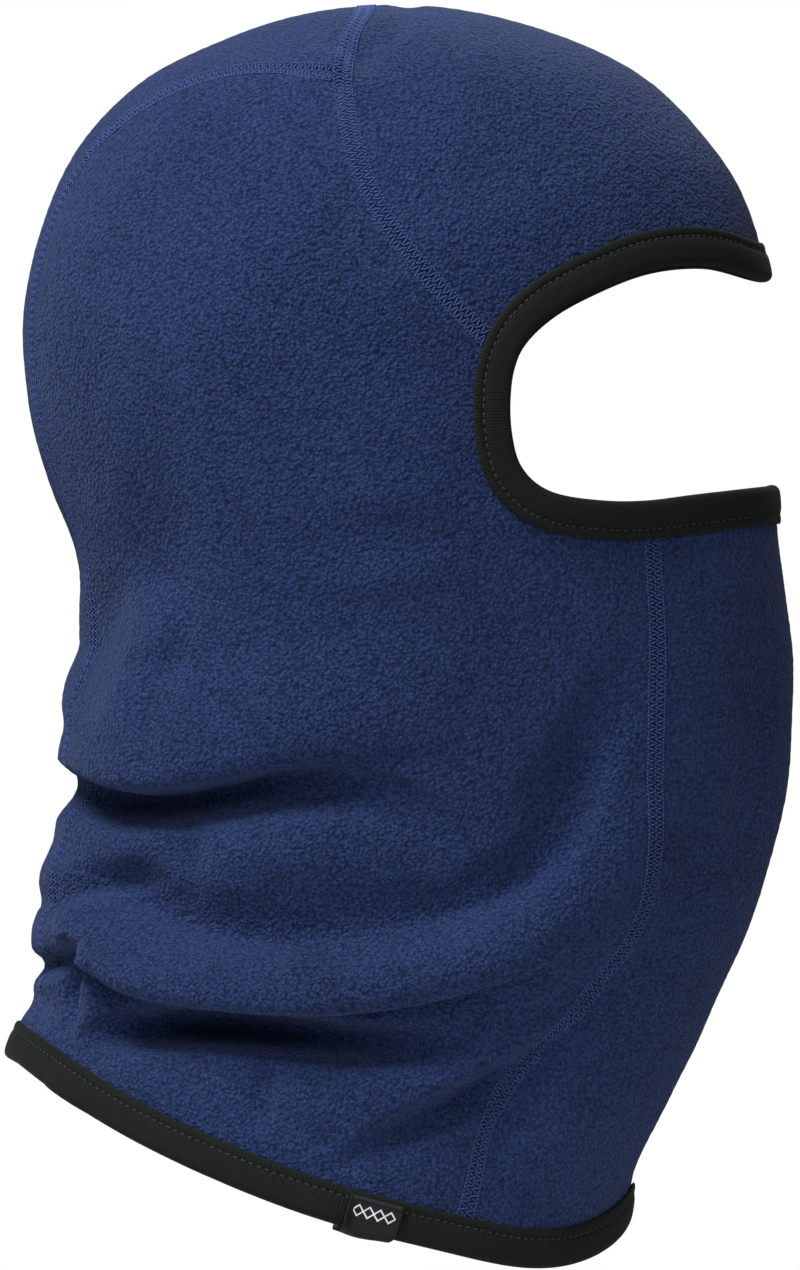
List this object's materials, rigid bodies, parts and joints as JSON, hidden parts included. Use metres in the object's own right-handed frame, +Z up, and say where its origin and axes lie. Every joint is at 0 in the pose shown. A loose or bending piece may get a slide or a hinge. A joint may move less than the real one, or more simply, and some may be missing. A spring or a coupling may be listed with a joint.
{
  "type": "balaclava",
  "caption": "Fleece ski balaclava that covers head and neck, with a bound face opening, flat seams and a slanted bound hem.",
  "frame": {"origin": "inside of the crown, where the top of the wearer's head touches it", "axes": "+X the way the wearer looks, +Y to the wearer's left, +Z up"},
  "size_m": [0.2197, 0.1604, 0.3516],
  "materials": {
    "fleece": "navy micro fleece with a fine pebbled pile, matt and slightly fuzzy",
    "binding": "black stretch knit binding with a fine rib along its length",
    "seam_thread": "navy polyester flat-seam thread, slight sheen",
    "topstitch_thread": "black polyester sewing thread, slight sheen",
    "woven_label": "black damask woven tape with a plain light woven pattern",
    "care_label": "white satin tape, blank"
  },
  "bodies": {
    "root": {"forehead_panel": "fleece", "back_gusset": "fleece", "side_panel_left": "fleece", "side_panel_right": "fleece", "chin_panel": "fleece", "face_binding": "binding", "hem_binding": "binding", "forehead_seam_thread": "seam_thread", "gusset_seam_thread_left": "seam_thread", "gusset_seam_thread_right": "seam_thread", "chin_seam_thread_left": "seam_thread", "chin_seam_thread_right": "seam_thread", "face_binding_topstitch": "topstitch_thread", "hem_binding_topstitch": "topstitch_thread", "loop_label": "woven_label", "loop_label_bartack": "topstitch_thread", "care_label": "care_label"}
  },
  "joints": []
}
